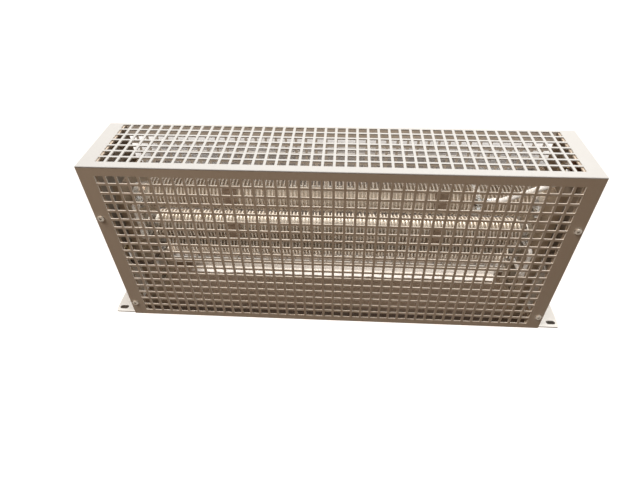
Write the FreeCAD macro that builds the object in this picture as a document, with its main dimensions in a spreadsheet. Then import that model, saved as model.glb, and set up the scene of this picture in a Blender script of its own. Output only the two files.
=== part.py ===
"""Enclosed tube resistor: three ribbon-wound ceramic tubes in a perforated sheet-metal case on slotted feet.

Millimetres, +X along the case, +Y from its front to its rear and +Z up. The origin is on the
ground, under the middle of the case.
"""
import FreeCAD, Part
import math
import os
import re

from FreeCAD import Placement, Rotation, Vector

doc = FreeCAD.newDocument("EnclosedResistor")
sheet = doc.addObject("Spreadsheet::Sheet", "Sizes")

# Driving dimensions, in millimetres and degrees
SIZES = {
    # case of perforated panels
    "case_width": 580,
    "case_depth": 104,
    "case_height": 252,
    "sheet_thickness": 1.5,
    "lid_edge_round": 1.2,
    "vent_size": 10,
    "vent_bar": 3,
    "vent_side_margin": 18.5,
    "front_bottom_margin": 9,
    "front_top_margin": 12,
    "rear_bottom_margin": 19,
    "rear_top_margin": 15,
    "lid_front_margin": 11.5,
    "lid_rear_margin": 4.5,
    # end plates and floor
    "flange_width": 20.5,
    "pan_lip_height": 8,
    "weld_stud_height": 8,
    # feet
    "foot_thickness": 2,
    "foot_reach": 29,
    "foot_leg_height": 80,
    "foot_corner_round": 3,
    "slot_length": 12.5,
    "slot_width": 6.5,
    "slot_beyond_side": 19.5,
    "slot_from_face": 9.3,
    # threads, nuts and washers in two sizes
    "small_thread_radius": 2,
    "small_nut_across": 7,
    "small_nut_height": 3.2,
    "large_thread_radius": 3,
    "large_nut_across": 10,
    "large_nut_height": 5,
    "large_washer_radius": 7,
    "large_washer_thickness": 1.5,
    "hole_clearance": 0.25,
    # case screws
    "screw_length": 9,
    "screw_head_radius": 4.3,
    "screw_head_height": 2.9,
    "screw_head_round": 1.6,
    "recess_length": 5,
    "recess_width": 1.1,
    "recess_depth": 1.4,
    "cover_screw_inset": 7,
    "cover_screw_low": 24.5,
    "cover_screw_high": 179,
    "side_screw_inset": 7.5,
    "side_screw_height": 65,
    "clinch_nut_radius": 3.3,
    "clinch_nut_height": 3,
    # tube supports
    "support_from_side": 33,
    "support_thickness": 2,
    "support_from_front": 22,
    "support_from_rear": 14,
    "support_top": 212,
    "support_flange": 9.5,
    "support_base": 18,
    "window_low": 18,
    "window_high": 64,
    "window_edge": 14,
    "weld_stud_from_web": 11,
    "weld_stud_from_middle": 22,
    # ceramic tubes
    "tube_radius": 12.4,
    "tube_bore_radius": 7,
    "tube_end_gap": 6,
    "tube_row_offset": 2,
    "upper_tube_height": 180.5,
    "middle_tube_height": 129.5,
    "lower_tube_height": 85,
    "lower_tube_setback": 17,
    # ribbon windings
    "winding_radius": 19.4,
    "winding_length": 480,
    "winding_pitch": 4.6,
    "winding_root": 0.8,
    "ribbon_thickness": 1.6,
    # tie rods
    "rod_tail": 12,
    "bush_spigot": 8,
    "bush_clearance": 0.2,
    "spring_washer_radius": 5.2,
    "spring_washer_thickness": 1.4,
    # band clamps on the tubes, and the plain tap lugs
    "clamp_width": 8,
    "clamp_thickness": 1.2,
    "clamp_from_winding": 1,
    "ear_reach": 14,
    "ear_thickness": 1.6,
    "ear_gap": 2,
    "ear_bolt_reach": 9,
    "bolt_head_height": 2.8,
    "bolt_spare": 1.5,
    "feed_clamp_x": 172,
    "feed_clamp_tilt": 25,
    "lug_width": 18,
    "lug_height": 24,
    "lug_thickness": 1.5,
    "lug_from_middle": 131,
    "upper_lug_rise": 3,
    "middle_lug_rise": 6,
    # link, leads and their ring terminals
    "link_width": 10,
    "link_thickness": 1.6,
    "lead_radius": 2.5,
    "lead_bend": 7,
    "feed_lead_radius": 3.4,
    "feed_lead_bend": 9,
    "feed_lead_rise_x": 198,
    "feed_lead_crest_x": 258,
    "loop_lead_reach": 8,
    "ring_radius": 5.2,
    "stud_ring_radius": 6.5,
    "ring_thickness": 1.4,
    "barrel_radius": 2.6,
    "barrel_length": 9,
    # standoff terminals on the end plates
    "standoff_radius": 8.5,
    "standoff_length": 13,
    "standoff_stud_depth": 4,
    "standoff_stud_reach": 10,
    "standoff_screw_depth": 8,
    "left_standoff_y": -38.5,
    "left_standoff_height": 118,
    "right_standoff_y": 8,
    "right_standoff_height": 226,
    # cable grommets and earth bolt
    "grommet_y": 22,
    "grommet_height": 150,
    "grommet_bore_radius": 6.5,
    "grommet_neck_radius": 9,
    "grommet_rim_radius": 12,
    "grommet_rim_thickness": 2.7,
    "earth_y": 24,
    "earth_height": 30,
    "earth_head_height": 4,
    "earth_bolt_length": 13,
}

for row, (name, value) in enumerate(SIZES.items(), 1):
    sheet.set(f"A{row}", name)
    sheet.set(f"B{row}", str(value))
    sheet.setAlias(f"B{row}", name)
doc.recompute()

X_AXIS = Vector(1, 0, 0)
Y_AXIS = Vector(0, 1, 0)
Z_AXIS = Vector(0, 0, 1)

# Turns that point a piece's own +Z the way their names say
POINTING = {
    "up": Rotation(),
    "down": Rotation(X_AXIS, 180),
    "front": Rotation(X_AXIS, 90),
    "rear": Rotation(X_AXIS, -90),
    "right": Rotation(Y_AXIS, 90),
    "left": Rotation(Y_AXIS, -90),
}
INWARD = {"left": POINTING["right"], "right": POINTING["left"]}
SIDES = {"left": -1, "right": 1}
FACES = {"front": -1, "rear": 1}
TUBES = ("upper", "middle", "lower")
nodes = []

# Rules that several pieces share
HALF_WIDTH = "case_width / 2"
HALF_DEPTH = "case_depth / 2"
PANEL_INNER = f"{HALF_DEPTH} - sheet_thickness"
FOLD_INNER = f"{HALF_DEPTH} - 2 * sheet_thickness"
WALL_INNER = f"{HALF_WIDTH} - sheet_thickness"
LEG_INNER = f"{WALL_INNER} - foot_thickness"
LID_UNDER = "case_height - sheet_thickness"
SUPPORT_INNER = f"{HALF_WIDTH} - support_from_side"
SUPPORT_OUTER = f"{SUPPORT_INNER} + support_thickness"
CLAMP_MIDDLE = "winding_length / 2 + clamp_from_winding + clamp_width / 2"
EAR_TOP = "ear_gap / 2 + ear_thickness"
SMALL_HOLE = "small_thread_radius + hole_clearance"
LARGE_HOLE = "large_thread_radius + hole_clearance"
RING_REACH = "ring_radius - hole_clearance + barrel_length"
STUD_RING_REACH = "stud_ring_radius - hole_clearance + barrel_length"
TUBE_Y = {
    "upper": "tube_row_offset",
    "middle": "tube_row_offset",
    "lower": "tube_row_offset + lower_tube_setback",
}
TUBE_Z = {tube: f"{tube}_tube_height" for tube in TUBES}
BOLT_Y = {tube: f"{TUBE_Y[tube]} - (tube_radius + clamp_thickness + ear_bolt_reach)" for tube in TUBES}


def size(name):
    """A value read back from the sheet."""
    return float(sheet.get(name))


def bind(piece, field, rule):
    """Tie a field to a rule in which the sheet's names stand as plain words."""
    linked = re.sub(r"[a-z_]{3,}", lambda m: "Sizes." + m.group() if m.group() in SIZES else m.group(), rule)
    piece.setExpression(field, linked)


def place(piece, x, y, z, field="Placement"):
    """Tie a piece's position to three rules."""
    for axis, rule in zip("xyz", (x, y, z)):
        bind(piece, f"{field}.Base.{axis}", rule)


def span(side, low, high):
    """A stretch along X, given for the right half and mirrored for the left one."""
    return (low, high) if side > 0 else (f"-({high})", f"-({low})")


def box(name, x, y, z):
    """A block between low and high rules along each axis."""
    block = doc.addObject("Part::Box", name)
    for field, (low, high) in zip(("Length", "Width", "Height"), (x, y, z)):
        bind(block, field, f"({high}) - ({low})")
    place(block, x[0], y[0], z[0])
    return block


def bar(name, pointing, radius, length, x="0", y="0", z="0"):
    """A round bar that starts at a point and runs the way it points."""
    cylinder = doc.addObject("Part::Cylinder", name)
    cylinder.Placement.Rotation = POINTING[pointing]
    bind(cylinder, "Radius", radius)
    bind(cylinder, "Height", length)
    place(cylinder, x, y, z)
    return cylinder


def hexagon(name, across, height, z="0"):
    """A hexagonal prism on the Z axis, sized across its flats."""
    prism = doc.addObject("Part::Prism", name)
    prism.Polygon = 6
    bind(prism, "Circumradius", f"({across}) / sqrt(3)")
    bind(prism, "Height", height)
    place(prism, "0", "0", z)
    return prism


def fuse(name, pieces):
    whole = doc.addObject("Part::MultiFuse", name)
    whole.Shapes = pieces
    return whole


def bundle(name, pieces):
    """Separate solids kept together without joining them."""
    loose = doc.addObject("Part::Compound", name)
    loose.Links = pieces
    return loose


def cut(name, base, tools):
    """A base less one or more tools, which may overlap."""
    result = doc.addObject("Part::Cut", name)
    result.Base = base
    result.Tool = tools[0] if len(tools) == 1 else fuse(f"{name}_tools", tools)
    return result


def rounded(name, base, radius, chosen):
    """Round the edges of a base that the test chooses."""
    doc.recompute()
    result = doc.addObject("Part::Fillet", name)
    result.Base = base
    numbers = [number for number, edge in enumerate(base.Shape.Edges, 1) if chosen(edge)]
    result.Edges = [(number, radius, radius) for number in numbers]
    return result


def keep(name, piece):
    """Mark a finished piece as a sub-part; its label names its file."""
    piece.Label = name
    nodes.append(piece)


def copies(name, master, places):
    """A node of separate copies of a master: each place is a turn and three position rules."""
    made = []
    for number, (turn, x, y, z) in enumerate(places, 1):
        link = doc.addObject("App::Link", f"{name}_{number}")
        link.LinkedObject = master
        link.LinkPlacement = Placement(Vector(), turn)
        place(link, x, y, z, "LinkPlacement")
        made.append(link)
    keep(name, bundle(f"{name}_set", made))


def ring(name, outer, inner, height):
    """A flat ring standing on the origin."""
    return cut(name, bar(f"{name}_disc", "up", outer, height), [bar(f"{name}_hole", "up", inner, height)])


def nut(name, across, bore, height):
    """A hexagonal nut standing on the origin."""
    return cut(name, hexagon(f"{name}_blank", across, height), [bar(f"{name}_bore", "up", bore, height)])


def rectangle(left, low, width, height):
    """A closed rectangle in the XY plane."""
    right = left + width
    high = low + height
    corners = [Vector(left, low), Vector(right, low), Vector(right, high), Vector(left, high)]
    return Part.makePolygon(corners + corners[:1])


def vent_starts(low, high):
    """Where the vents start between two limits: as many as the room takes, centred in it."""
    gap = size("vent_bar")
    pitch = size("vent_size") + gap
    count = math.floor((high - low + gap) / pitch + 0.001)
    first = (low + high - count * pitch + gap) / 2
    return [first + number * pitch for number in range(count)]


def vented_sheet(name, height, low_margin, high_margin, round_holes=()):
    """A sheet in the XY plane with a field of square vents, and round holes as x, y and radius."""
    width = size("case_width")
    vent = size("vent_size")
    vent_edge = width / 2 - size("vent_side_margin")
    starts_x = vent_starts(-vent_edge, vent_edge)
    starts_y = vent_starts(low_margin, height - high_margin)
    holes = [rectangle(x, y, vent, vent) for x in starts_x for y in starts_y]
    holes += [Part.Wire(Part.makeCircle(radius, Vector(x, y))) for x, y, radius in round_holes]
    for hole in holes:
        hole.reverse()
    face = doc.addObject("Part::Feature", f"{name}_face")
    face.Shape = Part.Face([rectangle(-width / 2, 0, width, height)] + holes)
    plate = doc.addObject("Part::Extrusion", name)
    plate.Base = face
    plate.DirMode = "Custom"
    plate.Dir = Z_AXIS
    plate.Solid = True
    bind(plate, "LengthFwd", "sheet_thickness")
    return plate


def case_panels():
    """Front and rear panels with their screw holes, and the top panel over both."""
    wall = size("sheet_thickness")
    side = size("case_width") / 2 - size("cover_screw_inset")
    radius = size("small_thread_radius") + size("hole_clearance")
    holes = [(x, size(z), radius) for x in (-side, side) for z in ("cover_screw_low", "cover_screw_high")]
    for word, y in (("front", f"-({PANEL_INNER})"), ("rear", HALF_DEPTH)):
        margins = (size(f"{word}_bottom_margin"), size(f"{word}_top_margin") - wall)
        panel = vented_sheet(f"{word}_sheet", size("case_height") - wall, *margins, holes)
        panel.Placement.Rotation = POINTING["front"]
        place(panel, "0", y, "0")
        keep(f"{word}_panel", panel)
    lid = vented_sheet("lid_sheet", size("case_depth"), size("lid_front_margin"), size("lid_rear_margin"))
    place(lid, "0", f"-{HALF_DEPTH}", LID_UNDER)
    top = size("case_height")
    far = size("case_depth") / 2

    def lid_rim(edge):
        middle = edge.BoundBox.Center
        return abs(middle.z - top) < 1e-6 and abs(abs(middle.y) - far) < 1e-6 and edge.Length > far

    keep("top_panel", rounded("lid_rounded", lid, size("lid_edge_round"), lid_rim))


def side_drills(name, word):
    """Clearance drills for the two side screws of one end."""
    start = f"{SIDES[word]} * ({LEG_INNER} - foot_thickness)"
    return [
        bar(f"{name}_{face}_drill", word, SMALL_HOLE, "flange_width", start,
            f"{sign} * ({HALF_DEPTH} - side_screw_inset)", "side_screw_height")
        for face, sign in FACES.items()
    ]


def earth_drill(name):
    """A clearance drill for the earth bolt."""
    start = f"{LEG_INNER} - foot_thickness"
    return bar(name, "right", LARGE_HOLE, "flange_width", start, "earth_y", "earth_height")


def end_plates():
    """The two end walls, folded inwards at the front, rear and top, with the holes that they carry."""
    tall = ("foot_thickness", LID_UNDER)
    deep = (f"-({PANEL_INNER})", PANEL_INNER)
    for word, side in SIDES.items():
        fold = span(side, f"{HALF_WIDTH} - flange_width", HALF_WIDTH)
        folded = fuse(f"{word}_end_folded", [
            box(f"{word}_end_wall", span(side, WALL_INNER, HALF_WIDTH), deep, tall),
            box(f"{word}_end_front", fold, (f"-({PANEL_INNER})", f"-({FOLD_INNER})"), tall),
            box(f"{word}_end_rear", fold, (FOLD_INNER, PANEL_INNER), tall),
            box(f"{word}_end_top", fold, deep, (f"{LID_UNDER} - sheet_thickness", LID_UNDER)),
        ])
        column = f"{side} * ({HALF_WIDTH} - cover_screw_inset)"
        inside = f"{side} * ({LEG_INNER})"
        drills = side_drills(f"{word}_end_side", word)
        for height in ("cover_screw_low", "cover_screw_high"):
            drills.append(bar(f"{word}_end_{height}_drill", "rear", SMALL_HOLE, "case_depth",
                              column, f"-{HALF_DEPTH}", height))
        drills.append(bar(f"{word}_end_grommet_drill", word, "grommet_neck_radius", "flange_width",
                          inside, "grommet_y", "grommet_height"))
        drills.append(bar(f"{word}_end_standoff_drill", word, SMALL_HOLE, "flange_width",
                          inside, f"{word}_standoff_y", f"{word}_standoff_height"))
        if word == "right":
            drills.append(earth_drill("end_earth_drill"))
        keep(f"{word}_end_plate", cut(f"{word}_end_drilled", folded, drills))


def slot_tool(name, side, sign):
    """A round-ended cutter for one slot, long along X."""
    middle = f"({HALF_WIDTH} + slot_beyond_side)"
    straight = "(slot_length - slot_width) / 2"
    y = f"{sign} * ({HALF_DEPTH} - slot_from_face)"
    flat = box(f"{name}_flat", span(side, f"{middle} - {straight}", f"{middle} + {straight}"),
               (f"{y} - slot_width / 2", f"{y} + slot_width / 2"), ("-foot_thickness", "2 * foot_thickness"))
    ends = [
        bar(f"{name}_end_{number}", "up", "slot_width / 2", "3 * foot_thickness",
            f"{side} * ({middle} + {turn} * {straight})", y, "-foot_thickness")
        for number, turn in enumerate((-1, 1), 1)
    ]
    return fuse(name, [flat] + ends)


def feet():
    """Angle brackets inside the end walls, whose slotted soles reach out under them."""
    tip = size("case_width") / 2 + size("foot_reach")

    def outer_corner(edge):
        bounds = edge.BoundBox
        return bounds.ZLength > bounds.XLength + bounds.YLength and abs(abs(bounds.Center.x) - tip) < 1e-6

    for word, side in SIDES.items():
        leg = box(f"{word}_leg", span(side, LEG_INNER, WALL_INNER), (f"-({FOLD_INNER})", FOLD_INNER),
                  ("0", "foot_leg_height"))
        sole = box(f"{word}_sole", span(side, LEG_INNER, f"{HALF_WIDTH} + foot_reach"),
                   (f"-({PANEL_INNER})", PANEL_INNER), ("0", "foot_thickness"))
        sole = rounded(f"{word}_sole_rounded", sole, size("foot_corner_round"), outer_corner)
        tools = [slot_tool(f"{word}_{face}_slot", side, sign) for face, sign in FACES.items()]
        tools += side_drills(f"{word}_foot_side", word)
        if word == "right":
            tools.append(earth_drill("foot_earth_drill"))
        keep(f"{word}_foot", cut(f"{word}_foot_cut", fuse(f"{word}_angle", [leg, sole]), tools))


def weld_studs():
    """Where the four weld studs stand, as x and y rules."""
    x = f"({SUPPORT_OUTER} + weld_stud_from_web)"
    return [(f"{side} * {x}", f"{sign} * weld_stud_from_middle") for side in (-1, 1) for sign in (-1, 1)]


def floor_pan():
    """The floor between the feet, with lips behind the panels and weld studs for the supports."""
    lip_x = (f"-({HALF_WIDTH} - flange_width)", f"{HALF_WIDTH} - flange_width")
    lip_z = ("0", "pan_lip_height")
    deep = (f"-({PANEL_INNER})", PANEL_INNER)
    pieces = [
        box("pan_floor", (f"-({LEG_INNER})", LEG_INNER), deep, ("0", "sheet_thickness")),
        box("pan_front_lip", lip_x, (f"-({PANEL_INNER})", f"-({FOLD_INNER})"), lip_z),
        box("pan_rear_lip", lip_x, (FOLD_INNER, PANEL_INNER), lip_z),
    ]
    length = "sheet_thickness + weld_stud_height"
    for number, (x, y) in enumerate(weld_studs(), 1):
        pieces.append(bar(f"pan_stud_{number}", "up", "small_thread_radius", length, x, y))
    keep("floor_pan", fuse("pan", pieces))


def pan_head_screw():
    """A cross-recessed screw on the origin: the head above, the shank below."""
    crown = size("screw_head_height")

    def crown_rim(edge):
        return len(edge.Vertexes) == 1 and abs(edge.BoundBox.Center.z - crown) < 1e-6

    head = bar("screw_head", "up", "screw_head_radius", "screw_head_height")
    domed = rounded("screw_dome", head, size("screw_head_round"), crown_rim)
    depth = ("screw_head_height - recess_depth", "screw_head_height + recess_depth")
    long_way = ("-recess_length / 2", "recess_length / 2")
    short_way = ("-recess_width / 2", "recess_width / 2")
    cross = [
        box("recess_along", long_way, short_way, depth),
        box("recess_across", short_way, long_way, depth),
    ]
    shank = bar("screw_shank", "down", "small_thread_radius", "screw_length")
    return fuse("case_screw", [cut("screw_recessed", domed, cross), shank])


def case_screws(screw):
    """Screws and clinch nuts: four at the front, four at the rear and two at each end."""
    clinch = ring("clinch_nut", "clinch_nut_radius", "small_thread_radius", "clinch_nut_height")
    column = f"({HALF_WIDTH} - cover_screw_inset)"
    row = f"({HALF_DEPTH} - side_screw_inset)"
    spots = [(f"{side} * {column}", z) for side in (-1, 1) for z in ("cover_screw_low", "cover_screw_high")]
    for word, sign in FACES.items():
        turn = POINTING[word]
        behind = f"{sign} * ({FOLD_INNER} - clinch_nut_height)"
        copies(f"{word}_screws", screw, [(turn, x, f"{sign} * {HALF_DEPTH}", z) for x, z in spots])
        copies(f"{word}_clinch_nuts", clinch, [(turn, x, behind, z) for x, z in spots])
    for name, master, x in (("side_screws", screw, HALF_WIDTH),
                            ("side_clinch_nuts", clinch, f"({LEG_INNER} - clinch_nut_height)")):
        copies(name, master, [
            (POINTING[word], f"{side} * {x}", f"{sign} * {row}", "side_screw_height")
            for word, side in SIDES.items() for sign in (-1, 1)
        ])


def supports(small_nut):
    """Upright channels that carry the three tubes on their tie rods, nutted to the floor's studs."""
    front = f"-({HALF_DEPTH} - support_from_front)"
    rear = f"{HALF_DEPTH} - support_from_rear"
    tall = ("sheet_thickness", "support_top")
    sole_top = "sheet_thickness + support_thickness"
    deep = "3 * support_thickness"
    for word, side in SIDES.items():
        fold = span(side, SUPPORT_INNER, f"{SUPPORT_OUTER} + support_flange")
        sole = span(side, SUPPORT_INNER, f"{SUPPORT_OUTER} + support_base")
        channel = fuse(f"{word}_channel", [
            box(f"{word}_web", span(side, SUPPORT_INNER, SUPPORT_OUTER), (front, rear), tall),
            box(f"{word}_web_front", fold, (front, f"{front} + support_thickness"), tall),
            box(f"{word}_web_rear", fold, (f"{rear} - support_thickness", rear), tall),
            box(f"{word}_web_sole", sole, (front, rear), ("sheet_thickness", sole_top)),
        ])
        start = f"{side} * ({SUPPORT_INNER} - support_thickness)"
        through = span(side, f"{SUPPORT_INNER} - support_thickness", f"{SUPPORT_OUTER} + support_thickness")
        tools = [box(f"{word}_window", through, (f"{front} + window_edge", f"{rear} - window_edge"),
                     ("window_low", "window_high"))]
        for tube in TUBES:
            tools.append(bar(f"{word}_{tube}_rod_drill", word, LARGE_HOLE, deep,
                             start, TUBE_Y[tube], TUBE_Z[tube]))
        for number, (x, y) in enumerate(weld_studs(), 1):
            tools.append(bar(f"{word}_stud_drill_{number}", "up", SMALL_HOLE, deep, x, y))
        keep(f"{word}_support", cut(f"{word}_support_cut", channel, tools))
    copies("support_nuts", small_nut, [(POINTING["up"], x, y, sole_top) for x, y in weld_studs()])


def comb_face(length, count):
    """Half section of a winding: a thin root with one tooth for each turn of the ribbon."""
    tube = size("tube_radius")
    root = tube + size("winding_root")
    tip = size("winding_radius")
    half_tooth = size("ribbon_thickness") / 2
    points = [Vector(-length / 2, tube), Vector(-length / 2, root)]
    for turn in range(count):
        middle = length * ((turn + 0.5) / count - 0.5)
        near = middle - half_tooth
        far = middle + half_tooth
        points += [Vector(near, root), Vector(near, tip), Vector(far, tip), Vector(far, root)]
    points += [Vector(length / 2, root), Vector(length / 2, tube)]
    return Part.Face(Part.makePolygon(points + points[:1]))


def tubes_and_windings():
    """Three equal ceramic tubes, each with an edge-wound ribbon."""
    start = f"-({SUPPORT_INNER} - tube_end_gap)"
    length = f"2 * ({SUPPORT_INNER} - tube_end_gap)"
    turns = round(size("winding_length") / size("winding_pitch"))
    for tube in TUBES:
        spot = (start, TUBE_Y[tube], TUBE_Z[tube])
        body = bar(f"{tube}_tube_body", "right", "tube_radius", length, *spot)
        bore = bar(f"{tube}_tube_bore", "right", "tube_bore_radius", length, *spot)
        keep(f"{tube}_tube", cut(f"{tube}_tube_bored", body, [bore]))
        section = doc.addObject("Part::Feature", f"{tube}_section")
        section.Shape = comb_face(size("winding_length"), turns)
        winding = doc.addObject("Part::Revolution", f"{tube}_turned")
        winding.Source = section
        winding.Axis = X_AXIS
        winding.Angle = 360
        winding.Solid = True
        place(winding, "0", TUBE_Y[tube], TUBE_Z[tube])
        keep(f"{tube}_winding", winding)


def bush():
    """A ceramic bush with its disc above the origin and its spigot below."""
    disc = bar("bush_disc", "up", "tube_radius", "tube_end_gap")
    spigot = bar("bush_spigot_bar", "down", "tube_bore_radius - bush_clearance", "bush_spigot")
    bore = bar("bush_bore", "up", LARGE_HOLE, "bush_spigot + tube_end_gap", "0", "0", "-bush_spigot")
    return cut("bush", fuse("bush_body", [disc, spigot]), [bore])


def tie_rods(washer, large_nut):
    """One threaded rod through each tube, with bushes, washers, spring washers and nuts at both ends."""
    reach = f"({SUPPORT_OUTER} + rod_tail)"
    rods = [
        bar(f"{tube}_rod", "right", "large_thread_radius", f"2 * {reach}",
            f"-{reach}", TUBE_Y[tube], TUBE_Z[tube])
        for tube in TUBES
    ]
    keep("tie_rods", bundle("rods", rods))
    spring = ring("spring_washer", "spring_washer_radius", LARGE_HOLE, "spring_washer_thickness")
    spring_start = f"{SUPPORT_OUTER} + large_washer_thickness"
    stack = (
        ("tube_bushes", bush(), f"{SUPPORT_INNER} - tube_end_gap"),
        ("rod_washers", washer, SUPPORT_OUTER),
        ("rod_spring_washers", spring, spring_start),
        ("rod_nuts", large_nut, f"{spring_start} + spring_washer_thickness"),
    )
    for name, master, start in stack:
        copies(name, master, [
            (POINTING[word], f"{side} * ({start})", TUBE_Y[tube], TUBE_Z[tube])
            for word, side in SIDES.items() for tube in TUBES
        ])


def clamp(name, radius):
    """A band clamp round the X axis, split between two ears at the front and drilled for a bolt."""
    outer = f"{radius} + clamp_thickness"
    half = "-clamp_width / 2"
    width = (half, "clamp_width / 2")
    tip = f"-({outer} + ear_reach)"
    ears = box(f"{name}_ears", width, (tip, f"-{radius}"), (f"-({EAR_TOP})", EAR_TOP))
    band = bar(f"{name}_band", "right", outer, "clamp_width", half)
    return cut(name, fuse(f"{name}_blank", [band, ears]), [
        bar(f"{name}_hollow", "right", radius, "clamp_width", half),
        box(f"{name}_split", width, (tip, "0"), ("-ear_gap / 2", "ear_gap / 2")),
        bar(f"{name}_drill", "up", SMALL_HOLE, f"2 * ({EAR_TOP})",
            "0", f"-({outer} + ear_bolt_reach)", f"-({EAR_TOP})"),
    ])


def clamp_bolt():
    """A hexagon bolt up through two ears and a terminal; the origin is between the ears."""
    head = hexagon("clamp_bolt_head", "small_nut_across", "bolt_head_height",
                   f"-({EAR_TOP} + bolt_head_height)")
    length = f"2 * ({EAR_TOP}) + link_thickness + small_nut_height + bolt_spare"
    shank = bar("clamp_bolt_shank", "up", "small_thread_radius", length, "0", "0", f"-({EAR_TOP})")
    return fuse("clamp_bolt", [head, shank])


def tilted_point(reach, rise):
    """A point off the upper tube's axis, out along the feed clamp's tilt and up across it, as y and z rules."""
    cosine = "cos(feed_clamp_tilt * 1deg)"
    sine = "sin(feed_clamp_tilt * 1deg)"
    y = f"tube_row_offset - ({reach}) * {cosine} + ({rise}) * {sine}"
    z = f"upper_tube_height + ({reach}) * {sine} + ({rise}) * {cosine}"
    return y, z


def feed_point(rise):
    """A point on the feed clamp's bolt, a rise above the middle of its ears, as y and z rules."""
    return tilted_point("winding_radius + clamp_thickness + ear_bolt_reach", rise)


def held_thickness(side, tube):
    """What an end clamp's bolt holds on top of the ears."""
    if side < 0 and tube != "lower":
        return "link_thickness"
    return "0" if tube == "upper" else "ring_thickness"


def clamps(small_nut):
    """A clamp beyond each end of every winding, and a tilted feed clamp on the upper winding."""
    flat = POINTING["up"]
    ends = [(side, tube, f"{side} * ({CLAMP_MIDDLE})") for side in (-1, 1) for tube in TUBES]
    copies("end_clamps", clamp("end_clamp", "tube_radius"),
           [(flat, x, TUBE_Y[tube], TUBE_Z[tube]) for side, tube, x in ends])
    bolts = [(flat, x, BOLT_Y[tube], TUBE_Z[tube]) for side, tube, x in ends]
    nuts = [
        (flat, x, BOLT_Y[tube], f"{TUBE_Z[tube]} + {EAR_TOP} + {held_thickness(side, tube)}")
        for side, tube, x in ends
    ]
    copies("feed_clamp", clamp("wide_clamp", "winding_radius"),
           [(FEED_TILT, "feed_clamp_x", TUBE_Y["upper"], TUBE_Z["upper"])])
    bolts.append((FEED_TILT, "feed_clamp_x", *feed_point("0")))
    nuts.append((FEED_TILT, "feed_clamp_x", *feed_point(f"{EAR_TOP} + ring_thickness")))
    copies("clamp_bolts", clamp_bolt(), bolts)
    copies("clamp_nuts", small_nut, nuts)


def link_bar():
    """A bent strip that joins the left clamps of the upper and middle tubes."""
    x = (f"-({CLAMP_MIDDLE} + link_width / 2)", f"-({CLAMP_MIDDLE} - link_width / 2)")
    front = f"{BOLT_Y['upper']} - ear_reach"
    tab_y = (front, f"{BOLT_Y['upper']} + link_width / 2")
    low = f"middle_tube_height + {EAR_TOP}"
    high = f"upper_tube_height + {EAR_TOP} + link_thickness"
    blank = fuse("link_blank", [
        box("link_lower_tab", x, tab_y, (low, f"{low} + link_thickness")),
        box("link_upper_tab", x, tab_y, (f"{high} - link_thickness", high)),
        box("link_strip", x, (front, f"{front} + link_thickness"), (low, high)),
    ])
    drill = bar("link_drill", "up", SMALL_HOLE, f"({high}) - ({low})",
                f"-({CLAMP_MIDDLE})", BOLT_Y["upper"], low)
    keep("link_bar", cut("link_drilled", blank, [drill]))


def tap_lugs():
    """Plain lugs on the fronts of the upper and middle windings, the upper pair tilted like the feed clamp."""
    plate = box("lug_plate", ("-lug_width / 2", "lug_width / 2"), ("-lug_thickness", "0"),
                ("-lug_height / 2", "lug_height / 2"))
    seats = (
        (FEED_TILT, *tilted_point("winding_radius", "upper_lug_rise")),
        (POINTING["up"], "tube_row_offset - winding_radius", "middle_tube_height + middle_lug_rise"),
    )
    copies("tap_lugs", bundle("tap_lug", [plate]), [
        (turn, x, y, z) for turn, y, z in seats for x in ("-lug_from_middle", "lug_from_middle")
    ])


def ring_terminal(name, eye_radius, hole):
    """A ring terminal: its eye stands on the XY plane round the origin and its barrel runs along +X."""
    start = f"{eye_radius} - hole_clearance"
    blank = fuse(f"{name}_blank", [
        bar(f"{name}_eye", "up", eye_radius, "ring_thickness"),
        box(f"{name}_tongue", ("0", f"{start} + barrel_radius"), ("-barrel_radius / 2", "barrel_radius / 2"),
            ("0", "ring_thickness")),
        bar(f"{name}_barrel", "right", "barrel_radius", "barrel_length", start, "0", "barrel_radius"),
    ])
    return cut(name, blank, [bar(f"{name}_hole", "up", hole, "ring_thickness")])


def ring_terminals():
    """Ring terminals on the clamps and on the standoffs."""
    forward = Rotation(Z_AXIS, -90)
    joints = ((CLAMP_MIDDLE, "middle"), (CLAMP_MIDDLE, "lower"), (f"-({CLAMP_MIDDLE})", "lower"))
    places = [(forward, x, BOLT_Y[tube], f"{TUBE_Z[tube]} + {EAR_TOP}") for x, tube in joints]
    places.append((FEED_TILT, "feed_clamp_x", *feed_point(EAR_TOP)))
    copies("clamp_terminals", ring_terminal("small_ring", "ring_radius", SMALL_HOLE), places)
    seat = f"({WALL_INNER} - standoff_length)"
    copies("standoff_terminals", ring_terminal("large_ring", "stud_ring_radius", LARGE_HOLE), [
        (INWARD["left"], f"-{seat}", "left_standoff_y", "left_standoff_height"),
        (INWARD["right"] * forward, seat, "right_standoff_y", "right_standoff_height"),
    ])


def standoffs(screw, large_nut):
    """An insulating standoff inside each end plate, with its stud, nut and fixing screw."""
    insulator = cut("standoff", bar("standoff_body", "up", "standoff_radius", "standoff_length"), [
        bar("standoff_screw_hole", "up", "small_thread_radius", "standoff_screw_depth"),
        bar("standoff_socket", "up", "large_thread_radius", "standoff_stud_depth", "0", "0",
            "standoff_length - standoff_stud_depth"),
    ])
    stud = bar("standoff_stud", "up", "large_thread_radius", "standoff_stud_depth + standoff_stud_reach")
    seat = f"{WALL_INNER} - standoff_length"
    stack = (
        ("standoff_insulators", insulator, INWARD, WALL_INNER),
        ("standoff_studs", stud, INWARD, f"{seat} + standoff_stud_depth"),
        ("standoff_nuts", large_nut, INWARD, f"{seat} - ring_thickness"),
        ("standoff_screws", screw, POINTING, HALF_WIDTH),
    )
    for name, master, turns, start in stack:
        copies(name, master, [
            (turns[word], f"{side} * ({start})", f"{word}_standoff_y", f"{word}_standoff_height")
            for word, side in SIDES.items()
        ])


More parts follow.
